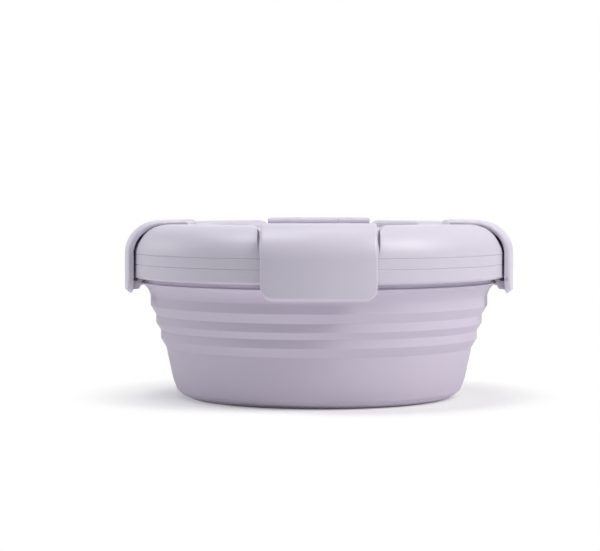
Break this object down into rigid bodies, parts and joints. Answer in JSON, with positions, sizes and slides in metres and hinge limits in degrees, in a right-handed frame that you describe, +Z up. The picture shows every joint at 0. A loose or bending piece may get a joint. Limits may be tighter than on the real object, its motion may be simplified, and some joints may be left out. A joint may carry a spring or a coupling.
{
  "type": "collapsible food bowl",
  "caption": "Round collapsible silicone food bowl with a stepped folding wall, hard two-piece rim, domed lid with a seal, and hinged latches that hook under the rim.",
  "frame": {"origin": "centre of the bowl's base, on the surface it stands on", "axes": "+Z up along the bowl's axis; -Y is the front, where one latch faces the viewer"},
  "size_m": [0.19, 0.19, 0.0862],
  "materials": {
    "silicone": "matte silicone",
    "plastic": "fine matt",
    "pin_steel": "drawn wire"
  },
  "bodies": {
    "base": {"bowl_floor": "silicone", "bowl_corner": "silicone", "bowl_cup": "silicone"},
    "tier_low": {"ring_low": "silicone", "web_low": "silicone"},
    "tier_mid": {"ring_mid": "silicone", "web_mid": "silicone"},
    "tier_top": {"ring_top": "silicone", "web_top": "silicone"},
    "rim": {"bowl_flange": "silicone", "web_neck": "silicone", "rim_lower_ring": "plastic", "rim_upper_ring": "plastic"},
    "lid": {"lid": "plastic", "lid_seal": "silicone"},
    "pin_right": {"pin_right": "pin_steel"},
    "latch_right": {"latch_right": "plastic"},
    "pin_back": {"pin_back": "pin_steel"},
    "latch_back": {"latch_back": "plastic"},
    "pin_left": {"pin_left": "pin_steel"},
    "latch_left": {"latch_left": "plastic"},
    "pin_front": {"pin_front": "pin_steel"},
    "latch_front": {"latch_front": "plastic"}
  },
  "joints": [
    {"name": "collapse", "type": "slide", "parent": "base", "child": "tier_low", "axis": [0, 0, -1], "range_m": [0, 0.0088], "deforming": ["web_low"]},
    {"name": "fold_mid", "type": "slide", "parent": "tier_low", "child": "tier_mid", "axis": [0, 0, -1], "range_m": [0, 0.0068], "deforming": ["web_mid"]},
    {"name": "fold_top", "type": "slide", "parent": "tier_mid", "child": "tier_top", "axis": [0, 0, -1], "range_m": [0, 0.009], "deforming": ["web_top"]},
    {"name": "fold_neck", "type": "slide", "parent": "tier_top", "child": "rim", "axis": [0, 0, -1], "range_m": [0, 0.0122], "deforming": ["web_neck"]},
    {"name": "lid_lift", "type": "slide", "parent": "rim", "child": "lid", "axis": [0, 0, 1], "range_m": [0, 0.025]},
    {"name": "pin_right_turn", "type": "hinge", "parent": "lid", "child": "pin_right", "pos_m": [0.064, 0, 0.0842], "axis": [0, -1, 0], "range_deg": [0, 75]},
    {"name": "latch_right_open", "type": "hinge", "parent": "pin_right", "child": "latch_right", "pos_m": [0.064, 0, 0.0842], "axis": [0, -1, 0], "range_deg": [0, 100]},
    {"name": "pin_back_turn", "type": "hinge", "parent": "lid", "child": "pin_back", "pos_m": [0, 0.064, 0.0842], "axis": [1, 0, 0], "range_deg": [0, 75]},
    {"name": "latch_back_open", "type": "hinge", "parent": "pin_back", "child": "latch_back", "pos_m": [0, 0.064, 0.0842], "axis": [1, 0, 0], "range_deg": [0, 100]},
    {"name": "pin_left_turn", "type": "hinge", "parent": "lid", "child": "pin_left", "pos_m": [-0.064, 0, 0.0842], "axis": [0, 1, 0], "range_deg": [0, 75]},
    {"name": "latch_left_open", "type": "hinge", "parent": "pin_left", "child": "latch_left", "pos_m": [-0.064, 0, 0.0842], "axis": [0, 1, 0], "range_deg": [0, 100]},
    {"name": "pin_front_turn", "type": "hinge", "parent": "lid", "child": "pin_front", "pos_m": [0, -0.064, 0.0842], "axis": [-1, 0, 0], "range_deg": [0, 75]},
    {"name": "latch_front_open", "type": "hinge", "parent": "pin_front", "child": "latch_front", "pos_m": [0, -0.064, 0.0842], "axis": [-1, 0, 0], "range_deg": [0, 100]}
  ],
  "couplings": [
    {"joint": "fold_mid", "follows": "collapse", "ratio": 0.7727},
    {"joint": "fold_top", "follows": "collapse", "ratio": 1.0227},
    {"joint": "fold_neck", "follows": "collapse", "ratio": 1.3863},
    {"joint": "pin_right_turn", "follows": "lid_lift", "rad_per_m": 52.35},
    {"joint": "pin_back_turn", "follows": "lid_lift", "rad_per_m": 52.35},
    {"joint": "pin_left_turn", "follows": "lid_lift", "rad_per_m": 52.35},
    {"joint": "pin_front_turn", "follows": "lid_lift", "rad_per_m": 52.35}
  ]
}
